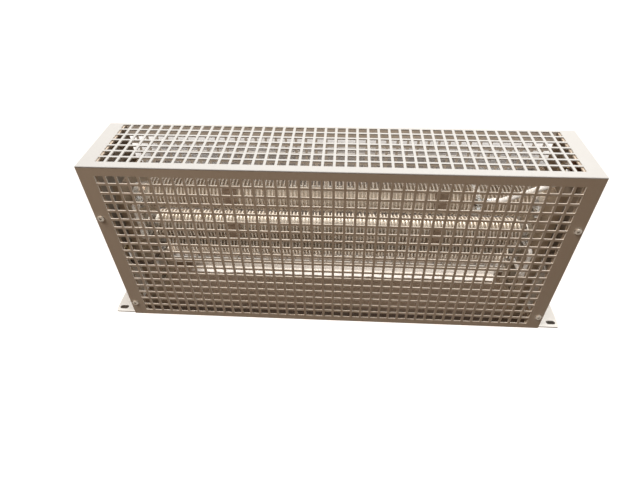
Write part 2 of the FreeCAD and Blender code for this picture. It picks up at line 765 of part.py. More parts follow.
def rounded_path(points, bend):
    """A wire of straight runs joined by tangent arcs."""
    edges = []
    start = points[0]
    for before, corner, after in zip(points, points[1:], points[2:]):
        incoming = (corner - before).normalize()
        outgoing = (after - corner).normalize()
        half_turn = incoming.getAngle(outgoing) / 2
        reach = bend * math.tan(half_turn)
        first = corner - incoming * reach
        last = corner + outgoing * reach
        middle = corner + (outgoing - incoming).normalize() * (bend / math.cos(half_turn) - bend)
        edges += [Part.makeLine(start, first), Part.Arc(first, middle, last).toShape()]
        start = last
    edges.append(Part.makeLine(start, points[-1]))
    return Part.Wire(edges)


def lead(name, radius, bend, corners):
    """A round lead swept through corners given as rules, with every corner rounded."""
    marks = []
    for number, rules in enumerate(corners, 1):
        mark = doc.addObject("Part::Vertex", f"{name}_corner_{number}")
        for field, rule in zip("XYZ", rules):
            bind(mark, field, rule)
        marks.append(mark)
    doc.recompute()
    points = [mark.Shape.Point for mark in marks]
    path = doc.addObject("Part::Feature", f"{name}_path")
    path.Shape = rounded_path(points, size(bend))
    section = doc.addObject("Part::Circle", f"{name}_section")
    section.Placement = Placement(points[0], Rotation(Z_AXIS, points[1] - points[0]))
    bind(section, "Radius", radius)
    swept = doc.addObject("Part::Sweep", f"{name}_swept")
    swept.Sections = [section]
    swept.Spine = (path, [f"Edge{number}" for number in range(1, len(path.Shape.Edges) + 1)])
    swept.Solid = True
    keep(name, swept)


def leads():
    """The feed lead, the loop between the right clamps and the lead to the left standoff."""
    feed_y, feed_z = feed_point(f"{EAR_TOP} + barrel_radius")
    barrel_x = f"({WALL_INNER} - standoff_length - barrel_radius)"
    lead("feed_lead", "feed_lead_radius", "feed_lead_bend", [
        (f"feed_clamp_x + {RING_REACH}", feed_y, feed_z),
        ("feed_lead_rise_x", feed_y, feed_z),
        ("feed_lead_crest_x", feed_y, "right_standoff_height"),
        (barrel_x, feed_y, "right_standoff_height"),
        (barrel_x, f"right_standoff_y - ({STUD_RING_REACH})", "right_standoff_height"),
    ])
    middle_z = f"middle_tube_height + {EAR_TOP} + barrel_radius"
    lower_z = f"lower_tube_height + {EAR_TOP} + barrel_radius"
    middle_y = f"{BOLT_Y['middle']} - ({RING_REACH})"
    lower_y = f"{BOLT_Y['lower']} - ({RING_REACH})"
    loop_y = f"{middle_y} - loop_lead_reach"
    lead("loop_lead", "lead_radius", "lead_bend", [
        (CLAMP_MIDDLE, middle_y, middle_z),
        (CLAMP_MIDDLE, loop_y, middle_z),
        (CLAMP_MIDDLE, loop_y, lower_z),
        (CLAMP_MIDDLE, lower_y, lower_z),
    ])
    lead("left_lead", "lead_radius", "lead_bend", [
        (f"-({CLAMP_MIDDLE})", lower_y, lower_z),
        (f"-({CLAMP_MIDDLE})", "left_standoff_y", lower_z),
        (f"-{barrel_x}", "left_standoff_y", lower_z),
        (f"-{barrel_x}", "left_standoff_y", f"left_standoff_height - ({STUD_RING_REACH})"),
    ])


def cable_grommets():
    """A rubber grommet in each end wall, with a rim on both faces of the sheet."""
    rim = "grommet_rim_thickness"
    body = fuse("grommet_body", [
        bar("grommet_inner_rim", "down", "grommet_rim_radius", rim),
        bar("grommet_neck", "up", "grommet_neck_radius", "sheet_thickness"),
        bar("grommet_outer_rim", "up", "grommet_rim_radius", rim, "0", "0", "sheet_thickness"),
    ])
    bore = bar("grommet_bore", "up", "grommet_bore_radius", f"2 * {rim} + sheet_thickness",
               "0", "0", f"-{rim}")
    copies("cable_grommets", cut("grommet", body, [bore]), [
        (POINTING[word], f"{side} * ({WALL_INNER})", "grommet_y", "grommet_height")
        for word, side in SIDES.items()
    ])


def earth_bolt(washer, large_nut):
    """A hexagon bolt through the right foot and end wall, with a washer and a nut outside."""
    head = hexagon("earth_head", "large_nut_across", "earth_head_height", "-earth_head_height")
    shank = bar("earth_shank", "up", "large_thread_radius", "earth_bolt_length")
    stack = (
        ("earth_bolt", fuse("earth_bolt_body", [head, shank]), LEG_INNER),
        ("earth_washer", washer, HALF_WIDTH),
        ("earth_nut", large_nut, f"{HALF_WIDTH} + large_washer_thickness"),
    )
    for name, master, x in stack:
        copies(name, master, [(POINTING["right"], x, "earth_y", "earth_height")])


def export():
    """Stop on any failed object, then write every sub-part."""
    failed = [item.Name for item in doc.Objects if {"Invalid", "Error"} & set(item.State)]
    if failed:
        raise RuntimeError(f"failed objects: {failed}")
    os.makedirs("parts", exist_ok=True)
    for piece in nodes:
        if piece.Shape.isNull() or not piece.Shape.isValid() or not piece.Shape.Solids:
            raise RuntimeError(f"bad shape: {piece.Label}")
        piece.Shape.exportStep(f"parts/{piece.Label}.step")
    print(len(nodes), "sub-parts written")


FEED_TILT = Rotation(X_AXIS, -size("feed_clamp_tilt"))
case_screw = pan_head_screw()
plain_washer = ring("plain_washer", "large_washer_radius", LARGE_HOLE, "large_washer_thickness")
plain_nut = nut("plain_nut", "large_nut_across", "large_thread_radius", "large_nut_height")
small_plain_nut = nut("small_plain_nut", "small_nut_across", "small_thread_radius", "small_nut_height")

case_panels()
end_plates()
feet()
floor_pan()
case_screws(case_screw)
supports(small_plain_nut)
tubes_and_windings()
tie_rods(plain_washer, plain_nut)
clamps(small_plain_nut)
link_bar()
tap_lugs()
ring_terminals()
standoffs(case_screw, plain_nut)
leads()
cable_grommets()
earth_bolt(plain_washer, plain_nut)
doc.recompute()
export()
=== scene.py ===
"""Looks of the enclosed resistor: perforated painted case, crimped ribbons, screws, wiring and studio."""
import math

import bmesh
import bpy
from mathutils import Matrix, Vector


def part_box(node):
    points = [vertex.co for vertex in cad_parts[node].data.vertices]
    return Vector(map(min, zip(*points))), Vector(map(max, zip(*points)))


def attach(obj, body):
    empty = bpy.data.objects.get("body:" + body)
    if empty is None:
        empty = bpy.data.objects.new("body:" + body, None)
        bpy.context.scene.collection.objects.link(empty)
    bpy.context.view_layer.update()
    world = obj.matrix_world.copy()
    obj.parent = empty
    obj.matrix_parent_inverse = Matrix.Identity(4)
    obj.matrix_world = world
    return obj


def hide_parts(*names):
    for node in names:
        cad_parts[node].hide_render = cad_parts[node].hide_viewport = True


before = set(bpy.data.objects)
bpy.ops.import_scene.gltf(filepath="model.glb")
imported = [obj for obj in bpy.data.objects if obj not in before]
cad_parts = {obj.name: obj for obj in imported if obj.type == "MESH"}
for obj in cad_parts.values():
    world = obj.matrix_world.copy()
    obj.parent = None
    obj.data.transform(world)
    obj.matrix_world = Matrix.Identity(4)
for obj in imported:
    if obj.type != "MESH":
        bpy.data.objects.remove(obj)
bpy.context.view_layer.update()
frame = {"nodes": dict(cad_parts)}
NODES = frame["nodes"]
MM = 0.001

# Camera solved from the case's corners and its rows of vents
CAMERA_PLACE = (0.01296, -0.47864, 0.52881)
CAMERA_TURN = (48.727, 0.676, 3.30)
CAMERA_LENS = 26.105
CAMERA_SENSOR = 36
CAMERA_NEAR = 0.01

# Pieces that are lit or dressed together
TUBES = ("upper", "middle", "lower")
RIBBONS = tuple(f"{tube}_ribbon" for tube in TUBES)
CORES = tuple(f"{tube}_tube" for tube in TUBES)
FEET = ("left_foot", "right_foot")
SUPPORTS = ("left_support", "right_support")

# Floor: its look, the light that it sends back, its painted shadow and the zones where that shadow starts
# and is full
FLOOR_REACH = 8
FLOOR_LEVEL = -0.0002
FLOOR_LOOK = (1.0, 0.97, 0.935)
FLOOR_GLOW = (0.05, 0.046, 0.042)
FLOOR_BOUNCE = (0.10, 0.052, 0.02)
FLOOR_SHADE = (0.42, 0.33, 0.25)
SHADE_SIDE = (0.305, 0.22)
SHADE_FRONT = (-0.05, -0.01)
SHADE_REAR = (0.52, 0.28)
FLOOR_LAMP_PLACE = (0, -0.77, 0.755)
FLOOR_LAMP_RADIUS = 0.075
FLOOR_LAMP_STRENGTH = 60
ROOM_GLOW = (0.035, 0.02, 0.01)

# Dark sheets of painted shade under the soles, seen through their slots
SLOT_SHADE = (0.06, 0.05, 0.042)
SLOT_ROUGHNESS = 0.9
SHADE_INSET = 0.002

# Room lamps: name, place, sides, watts, colour and the pieces that each leaves unlit
AIM = (0, 0, 0.2)
LAMPS = (
    ("ceiling_lamp", (0.15, 0.2, 1.7), (2.4, 0.15), 24, (0.988, 1.0, 1.015),
     ("front_panel", "rear_panel", *SUPPORTS, *RIBBONS, *CORES)),
    ("forward_lamp", (-0.8, -0.25, 1.7), (1.6, 0.1), 23, (1.0, 0.79, 0.61),
     ("top_panel", "floor_pan", "rear_panel", *FEET, *RIBBONS, *CORES)),
    ("rear_lamp", (0, 1.15, 1.45), (2.4, 0.6), 15, (1.0, 0.97, 0.94), ("front_panel",)),
)

# Inner lamps: name, place, sides, watts, colour, the pieces that each lights and those that shade them
INNER_LAMPS = (
    ("edge_lamp", (0, 0.03, 0.62), (2.4, 0.15), 3, (1.0, 0.965, 0.92), ("front_panel",), ("floor_pan",)),
    ("rim_lamp", (0, 0.36, 1.6), (2.4, 0.15), 11, (1.0, 0.965, 0.92), ("front_panel",), (*RIBBONS, *CORES)),
    ("upper_lamp", (0, -1.1, 1.2), (2.4, 0.15), 7.5, (1.0, 0.90, 0.80), ("upper_ribbon", "upper_tube"),
     ("floor_pan",)),
    ("middle_lamp", (0, 0.7, 1.55), (2.4, 0.15), 46, (1.0, 0.98, 0.95), ("middle_ribbon", "middle_tube"),
     ("middle_ribbon",)),
    ("lower_left_lamp", (-0.8, -0.6, 1.7), (0.7, 0.12), 97, (1.0, 0.975, 0.945), ("lower_ribbon",),
     ("middle_ribbon", "middle_tube")),
    ("lower_right_lamp", (0.8, -0.6, 1.7), (0.7, 0.12), 97, (1.0, 0.975, 0.945), ("lower_ribbon",),
     ("middle_ribbon", "middle_tube")),
    ("back_lamp", (0, -0.7, 1.6), (2.4, 0.15), 26, (1.0, 0.97, 0.94), ("rear_panel",), ("floor_pan",)),
    ("lead_lamp", (0, -0.85, 1.45), (2.4, 0.15), 14, (1.0, 0.96, 0.92), ("feed_lead", "loop_lead"),
     ("floor_pan",)),
    ("pan_lamp", (0, -0.85, 1.45), (2.4, 0.15), 36, (1.0, 0.94, 0.89), ("floor_pan",), ("floor_pan",)),
    ("foot_lamp", (0, -0.3, 1.6), (2.4, 0.15), 24, (1.0, 0.99, 0.97), FEET,
     (*FEET, "left_end_plate", "right_end_plate")),
)

# The case's inner faces, darkened with painted shade: half its inner length and depth, and its inner height
CASE_INNER = (0.2886, 0.0506, 0.2506)
CASE_INNER_LOW = 0.0115
CASE_INSIDE_SHADE = (0.46, 0.395, 0.325)
CASE_INSIDE_SHADE_PALE = (0.56, 0.495, 0.42)

# The pan's painted shade, and its strip of painted light with the zones where the strip's edges start and
# end
PAN_STRIP_FRONT = (0.0365, 0.0385)
PAN_STRIP_LEFT = (-0.232, -0.205)
PAN_STRIP_RIGHT = (0.251, 0.249)
PAN_WANDER = 0.002
PAN_TOP = 0.0012
PAN_LIT_STRIP_AND_UNDERSIDE = (0.92, 0.90, 0.865)
PAN_LIP_ZONE = (0.0016, 0.0026)
PAN_LIP_ENDS = (-0.24, -0.02)
PAN_LIP_LEFT_SHADE = (0.33, 0.29, 0.245)
PAN_LIP = (0.68, 0.65, 0.61)
PAN_SHADE = (0.080, 0.053, 0.032)
PAN_SHADE_PALE = (0.112, 0.077, 0.050)
PAN_SHADE_FRONT = (0.028, 0.016, 0.009)
PAN_FRONT_ZONE = (-0.018, -0.036)

# Ribbon windings
RIBBON_TURNS = 103
RIBBON_PITCH = 4.615 * MM
RIBBON_THICKNESS = 1.6 * MM
RIBBON_WAVES = 28.0
RIBBON_WAVE_HEIGHT = 0.07 * MM
RIBBON_INNER_WAVE = 0.35
RIBBON_STEPS = 168

# Pan-head screws: head, shank and cross recess
HEAD_RADIUS = 4.3 * MM
HEAD_HEIGHT = 2.9 * MM
HEAD_CORNERS = 32
HEAD_RINGS = 7
HEAD_ARC = math.radians(58)
HEAD_ROUNDNESS = 0.62
HEAD_RIM = 0.28
SHANK_RADIUS = 2 * MM
SHANK_LENGTH = 9 * MM
RECESS_REACH = 2.35 * MM
RECESS_HALF_WIDTH = 0.55 * MM
RECESS_DEPTH = 1.7 * MM
RECESS_END_REACH = 1.3 * MM
RECESS_END_HALF_WIDTH = 0.32 * MM

# How far the screws are turned: the first one, and the step to each next one
PANEL_SPIN = 0.4
PANEL_SPIN_STEP = 1.3
SIDE_SPIN = 0.7
SIDE_SPIN_STEP = 1.9


# Node helpers

def add_node(tree, kind, inputs=None, **settings):
    """A node with its settings made and its inputs linked or filled."""
    node = tree.nodes.new(kind)
    for name, value in settings.items():
        setattr(node, name, value)
    for key, source in (inputs or {}).items():
        if isinstance(source, bpy.types.NodeSocket):
            tree.links.new(source, node.inputs[key])
        else:
            node.inputs[key].default_value = source
    return node


def math_value(tree, operation, first, second=0.0):
    """The result of one math step."""
    return add_node(tree, "ShaderNodeMath", {0: first, 1: second}, operation=operation).outputs[0]


def ramp(tree, value, zone, **settings):
    """A mask that runs from 0 to 1 between the two ends of a zone."""
    start, end = zone
    limits = {"Value": value, "From Min": start, "From Max": end}
    return add_node(tree, "ShaderNodeMapRange", limits, **settings).outputs["Result"]


def mixed(tree, mask, first, second):
    """Two colours mixed by a mask, each given as numbers or as a socket."""
    mix = add_node(tree, "ShaderNodeMix", {"Factor": mask}, data_type="RGBA")
    for key, colour in (("A", first), ("B", second)):
        if isinstance(colour, bpy.types.NodeSocket):
            tree.links.new(colour, mix.inputs[key])
        else:
            mix.inputs[key].default_value = (*colour, 1)
    return mix.outputs[2]


def new_group(name, kind, sizes):
    """A node group with named inputs, given as a name, a socket type and a default."""
    tree = bpy.data.node_groups.new(name, kind)
    for label, socket_type, default in sizes:
        socket = tree.interface.new_socket(label, in_out="INPUT", socket_type=socket_type)
        if default is not None:
            socket.default_value = default
    return tree, tree.nodes.new("NodeGroupInput").outputs


def end_group(tree, results):
    """The outputs of a node group, given as a name, a socket type and a source."""
    for label, socket_type, source in results:
        tree.interface.new_socket(label, in_out="OUTPUT", socket_type=socket_type)
    end = tree.nodes.new("NodeGroupOutput")
    for label, socket_type, source in results:
        tree.links.new(source, end.inputs[label])


def put(name, data):
    """A new object in the scene."""
    thing = bpy.data.objects.new(name, data)
    bpy.context.scene.collection.objects.link(thing)
    return thing


# Shader groups that several finishes share

def make_mottle():
    """Soft blotches from 0 to 1 over the surface."""
    tree, given = new_group("mottle", "ShaderNodeTree", [
        ("Vector", "NodeSocketVector", None),
        ("Scale", "NodeSocketFloat", 40.0),
        ("Contrast", "NodeSocketFloat", 2.0),
    ])
    noise = add_node(tree, "ShaderNodeTexNoise", {
        "Vector": given["Vector"], "Scale": given["Scale"], "Detail": 5.0,
    })
    centred = math_value(tree, "SUBTRACT", noise.outputs["Fac"], 0.5)
    spread = math_value(tree, "MULTIPLY", centred, given["Contrast"])
    lifted = add_node(tree, "ShaderNodeMath", {0: spread, 1: 0.5}, operation="ADD", use_clamp=True)
    end_group(tree, [("Mask", "NodeSocketFloat", lifted.outputs[0])])
    return tree


def make_grain():
    """A fine rough skin as a normal."""
    tree, given = new_group("grain", "ShaderNodeTree", [
        ("Vector", "NodeSocketVector", None),
        ("Scale", "NodeSocketFloat", 900.0),
        ("Strength", "NodeSocketFloat", 0.1),
        ("Depth", "NodeSocketFloat", 0.0002),
    ])
    noise = add_node(tree, "ShaderNodeTexNoise", {
        "Vector": given["Vector"], "Scale": given["Scale"], "Detail": 3.0,
    })
    bump = add_node(tree, "ShaderNodeBump", {
        "Height": noise.outputs["Fac"], "Strength": given["Strength"], "Distance": given["Depth"],
    })
    end_group(tree, [("Normal", "NodeSocketVector", bump.outputs["Normal"])])
    return tree


MOTTLE = make_mottle()
GRAIN = make_grain()


class Finish:
    """A material on Object coordinates, built up by a few steps."""

    def __init__(self, name, colour, roughness, metallic=0.0, specular=0.5):
        self.material = bpy.data.materials.new(name)
        self.material.use_nodes = True
        self.tree = self.material.node_tree
        self.shader = self.tree.nodes["Principled BSDF"]
        self.shader.inputs["Base Color"].default_value = (*colour, 1)
        self.shader.inputs["Roughness"].default_value = roughness
        self.shader.inputs["Metallic"].default_value = metallic
        self.shader.inputs["Specular IOR Level"].default_value = specular
        self.place = add_node(self.tree, "ShaderNodeTexCoord").outputs["Object"]

    def stretched(self, scale):
        """Object coordinates stretched along some axes, for brushed or drawn marks."""
        mapping = add_node(self.tree, "ShaderNodeMapping", {"Vector": self.place, "Scale": scale})
        return mapping.outputs["Vector"]

    def mottle(self, scale, contrast, vector=None):
        """A mask of soft blotches."""
        group = add_node(self.tree, "ShaderNodeGroup", node_tree=MOTTLE)
        self.tree.links.new(vector or self.place, group.inputs["Vector"])
        group.inputs["Scale"].default_value = scale
        group.inputs["Contrast"].default_value = contrast
        return group.outputs["Mask"]

    def colours(self, mask, first, second):
        """A colour that varies between two colours by a mask."""
        return mixed(self.tree, mask, first, second)

    def paint(self, colour):
        """The base colour."""
        self.tree.links.new(colour, self.shader.inputs["Base Color"])

    def rough(self, mask, low, high):
        """Roughness that varies between two values by a mask."""
        spread = add_node(self.tree, "ShaderNodeMapRange", {"Value": mask, "To Min": low, "To Max": high})
        self.tree.links.new(spread.outputs["Result"], self.shader.inputs["Roughness"])

    def grain(self, scale, strength, depth=0.0002, vector=None):
        """A fine rough skin."""
        group = add_node(self.tree, "ShaderNodeGroup", node_tree=GRAIN)
        self.tree.links.new(vector or self.place, group.inputs["Vector"])
        group.inputs["Scale"].default_value = scale
        group.inputs["Strength"].default_value = strength
        group.inputs["Depth"].default_value = depth
        self.tree.links.new(group.outputs["Normal"], self.shader.inputs["Normal"])


# Finishes

def case_paint():
    """Pale beige-grey powder coat with slight orange peel and faint blotches, darker brown on its inner
    faces as painted shade.
    """
    finish = Finish("case_paint", (0.80, 0.77, 0.72), 0.42, specular=0.2)
    tree = finish.tree
    place = add_node(tree, "ShaderNodeSeparateXYZ", {0: finish.place}).outputs
    above = math_value(tree, "GREATER_THAN", place["Z"], CASE_INNER_LOW)
    below = math_value(tree, "LESS_THAN", place["Z"], CASE_INNER[2])
    inside = math_value(tree, "MULTIPLY", above, below)
    for axis, reach in zip("XY", CASE_INNER):
        aside = math_value(tree, "ABSOLUTE", place[axis])
        near = math_value(tree, "LESS_THAN", aside, reach)
        inside = math_value(tree, "MULTIPLY", inside, near)
    unshaded = finish.colours(finish.mottle(9, 1.6), (0.785, 0.752, 0.70), (0.815, 0.788, 0.742))
    # Inner faces take a darker brown as painted shade
    shaded_inside = finish.colours(finish.mottle(22, 2.0), CASE_INSIDE_SHADE, CASE_INSIDE_SHADE_PALE)
    finish.paint(finish.colours(inside, unshaded, shaded_inside))
    finish.rough(finish.mottle(60, 1.5), 0.36, 0.5)
    finish.grain(1100, 0.16)
    return finish.material


def pan_paint():
    """The floor pan's paint, darkened on top with painted shade, darker towards the front, but for a strip
    of painted light along the rear; its underside stays pale.
    """
    finish = Finish("pan_paint", (0.82, 0.79, 0.74), 0.5, specular=0.3)
    tree = finish.tree
    place = add_node(tree, "ShaderNodeSeparateXYZ", {0: finish.place}).outputs
    wander = math_value(tree, "MULTIPLY", finish.mottle(70, 2.0), PAN_WANDER)
    depth = math_value(tree, "ADD", place["Y"], wander)
    # The strip of painted light along the rear, and the underside, are left without painted shade
    unshaded = ramp(tree, depth, PAN_STRIP_FRONT)
    for zone in (PAN_STRIP_LEFT, PAN_STRIP_RIGHT):
        unshaded = math_value(tree, "MULTIPLY", unshaded, ramp(tree, place["X"], zone))
    under = math_value(tree, "LESS_THAN", place["Z"], PAN_TOP)
    unshaded = math_value(tree, "MAXIMUM", unshaded, under)
    # Painted shade over the rest of the top, darker towards the front
    painted_shade = finish.colours(finish.mottle(14, 1.5), PAN_SHADE, PAN_SHADE_PALE)
    painted_shade = finish.colours(ramp(tree, depth, PAN_FRONT_ZONE), painted_shade, PAN_SHADE_FRONT)
    # The lip in the strip darkens towards its left end as painted shade
    lip = finish.colours(ramp(tree, place["X"], PAN_LIP_ENDS), PAN_LIP_LEFT_SHADE, PAN_LIP)
    pale = finish.colours(ramp(tree, place["Z"], PAN_LIP_ZONE), PAN_LIT_STRIP_AND_UNDERSIDE, lip)
    finish.paint(finish.colours(unshaded, painted_shade, pale))
    finish.grain(1000, 0.15)
    return finish.material


def shaded_support_paint():
    """The tube supports: the case's paint, darkened and browned as painted shade."""
    finish = Finish("shaded_support_paint", (0.70, 0.655, 0.59), 0.5)
    finish.paint(finish.colours(finish.mottle(25, 1.8), (0.50, 0.42, 0.33), (0.60, 0.52, 0.42)))
    finish.grain(1000, 0.14)
    return finish.material


def bright_zinc():
    """Zinc plate on screws and nuts, with a faint yellow and blue cast."""
    finish = Finish("bright_zinc", (0.78, 0.78, 0.76), 0.28, metallic=1.0)
    finish.paint(finish.colours(finish.mottle(260, 2.2), (0.80, 0.765, 0.68), (0.74, 0.77, 0.80)))
    finish.rough(finish.mottle(900, 2.0), 0.18, 0.42)
    finish.grain(2600, 0.12)
    return finish.material


def dull_steel():
    """Clamps and the link: plain steel with brown heat stains."""
    finish = Finish("dull_steel", (0.42, 0.39, 0.35), 0.5, metallic=1.0)
    finish.paint(finish.colours(finish.mottle(120, 2.6), (0.34, 0.28, 0.22), (0.56, 0.54, 0.50)))
    finish.rough(finish.mottle(500, 2.0), 0.35, 0.62)
    finish.grain(1800, 0.2)
    return finish.material


def ribbon_alloy():
    """Rolled resistance ribbon: pale satin metal with straw-coloured patches."""
    finish = Finish("ribbon_alloy", (0.70, 0.62, 0.52), 0.48, metallic=0.6)
    finish.paint(finish.colours(finish.mottle(55, 2.4), (0.60, 0.515, 0.42), (0.80, 0.73, 0.64)))
    finish.rough(finish.mottle(700, 2.0), 0.38, 0.58)
    finish.grain(1500, 0.18, vector=finish.stretched((1, 0.2, 0.2)))
    return finish.material


def cream_ceramic():
    """Unglazed steatite: cream, matt and slightly speckled."""
    finish = Finish("cream_ceramic", (0.80, 0.765, 0.69), 0.72, specular=0.35)
    finish.paint(finish.colours(finish.mottle(420, 3.0), (0.70, 0.655, 0.57), (0.84, 0.81, 0.745)))
    finish.grain(1600, 0.3)
    return finish.material


def plain_brass():
    """Turned brass, a little tarnished."""
    finish = Finish("plain_brass", (0.50, 0.40, 0.24), 0.36, metallic=1.0)
    finish.paint(finish.colours(finish.mottle(180, 2.4), (0.36, 0.27, 0.16), (0.60, 0.49, 0.31)))
    finish.rough(finish.mottle(700, 2.0), 0.22, 0.48)
    finish.grain(2200, 0.12)
    return finish.material


def tinned_copper():
    """Ring terminals: bright tin, softly dented by the crimp."""
    finish = Finish("tinned_copper", (0.80, 0.79, 0.77), 0.3, metallic=1.0)
    finish.rough(finish.mottle(600, 2.0), 0.2, 0.45)
    finish.grain(700, 0.25)
    return finish.material


def brown_resin():
    """Standoffs: moulded brown resin with a soft gloss."""
    finish = Finish("brown_resin", (0.16, 0.075, 0.045), 0.35)
    finish.paint(finish.colours(finish.mottle(300, 2.5), (0.13, 0.058, 0.035), (0.20, 0.10, 0.06)))
    finish.grain(1400, 0.15)
    return finish.material


def browned_steel():
    """Tap lugs: steel that heat has turned brown."""
    finish = Finish("browned_steel", (0.24, 0.17, 0.115), 0.55, metallic=0.6)
    finish.paint(finish.colours(finish.mottle(150, 2.4), (0.18, 0.12, 0.08), (0.33, 0.25, 0.18)))
    finish.rough(finish.mottle(500, 2.0), 0.42, 0.65)
    finish.grain(1600, 0.2)
    return finish.material


def shaded_case_zinc():
    """Case screws: dull brownish zinc, darkened as painted shade."""
    finish = Finish("shaded_case_zinc", (0.42, 0.37, 0.31), 0.5, metallic=0.7)
    finish.paint(finish.colours(finish.mottle(300, 2.2), (0.34, 0.29, 0.235), (0.52, 0.475, 0.41)))
    finish.rough(finish.mottle(900, 2.0), 0.4, 0.6)
    finish.grain(2600, 0.12)
    return finish.material


def brown_sleeve():
    """Sleeve of the left lead: dark brown and satin."""
    finish = Finish("brown_sleeve", (0.10, 0.07, 0.05), 0.5)
    finish.paint(finish.colours(finish.mottle(140, 2.2), (0.08, 0.055, 0.038), (0.13, 0.095, 0.07)))
    finish.grain(1200, 0.2)
    return finish.material


def white_sleeve():
    """Silicone sleeve of the leads: white and satin, with a trace of dirt."""
    finish = Finish("white_sleeve", (0.86, 0.85, 0.82), 0.48)
    finish.paint(finish.colours(finish.mottle(140, 2.2), (0.80, 0.785, 0.745), (0.88, 0.875, 0.855)))
    finish.grain(1200, 0.2)
    return finish.material


def black_rubber():
    """Grommets: matt black rubber with a grey bloom."""
    finish = Finish("black_rubber", (0.022, 0.022, 0.022), 0.62)
    finish.paint(finish.colours(finish.mottle(160, 2.4), (0.014, 0.014, 0.014), (0.045, 0.044, 0.042)))
    finish.grain(1500, 0.3)
    return finish.material


SHADED_CASE_ZINC = shaded_case_zinc()
RIBBON = ribbon_alloy()

# Which CAD nodes wear each finish
WEARS = (
    (case_paint(), ("front_panel", "rear_panel", "top_panel", "left_end_plate", "right_end_plate", *FEET)),
    (pan_paint(), ("floor_pan",)),
    (shaded_support_paint(), SUPPORTS),
    (bright_zinc(), (
        "front_clinch_nuts", "rear_clinch_nuts", "side_clinch_nuts", "support_nuts", "tie_rods",
        "rod_washers", "rod_spring_washers", "rod_nuts", "clamp_bolts", "clamp_nuts",
    )),
    (dull_steel(), ("end_clamps", "feed_clamp", "link_bar")),
    (browned_steel(), ("tap_lugs",)),
    (cream_ceramic(), (*CORES, "tube_bushes")),
    (plain_brass(), ("standoff_studs", "standoff_nuts", "earth_bolt", "earth_washer", "earth_nut")),
    (tinned_copper(), ("clamp_terminals", "standoff_terminals")),
    (brown_resin(), ("standoff_insulators",)),
    (white_sleeve(), ("feed_lead", "loop_lead")),
    (brown_sleeve(), ("left_lead",)),
    (black_rubber(), ("cable_grommets",)),
)


def dress(node, material):
    """Put one material on a CAD node."""
    slots = NODES[node].data.materials
    slots.clear()
    slots.append(material)


# Pieces made with Geometry Nodes

def grow(name, tree, values, start=None):
    """A plain mesh object from a tree, with the tree's inputs set by name."""
    mesh = start or bpy.data.meshes.new(f"{name}_start")
    carrier = put(f"{name}_carrier", mesh)
    modifier = carrier.modifiers.new("shape", "NODES")
    modifier.node_group = tree
    for item in tree.interface.items_tree:
        if item.in_out == "INPUT" and item.name in values:
            modifier[item.identifier] = values[item.name]
    bpy.context.view_layer.update()
    shaped = carrier.evaluated_get(bpy.context.evaluated_depsgraph_get())
    made = bpy.data.meshes.new_from_object(shaped)
    bpy.data.objects.remove(carrier)
    made.name = name
    return put(name, made)


def end_piece(tree, shape, material):
    """The end of a piece's tree: its instances made real, and its material set."""
    real = add_node(tree, "GeometryNodeRealizeInstances", {"Geometry": shape}).outputs[0]
    dressed = add_node(tree, "GeometryNodeSetMaterial", {"Geometry": real, "Material": material})
    end_group(tree, [("Geometry", "NodeSocketGeometry", dressed.outputs[0])])


def face_outwards(piece):
    """Turn all faces of a closed mesh outwards."""
    work = bmesh.new()
    work.from_mesh(piece.data)
    bmesh.ops.recalc_face_normals(work, faces=work.faces)
    work.to_mesh(piece.data)
    work.free()


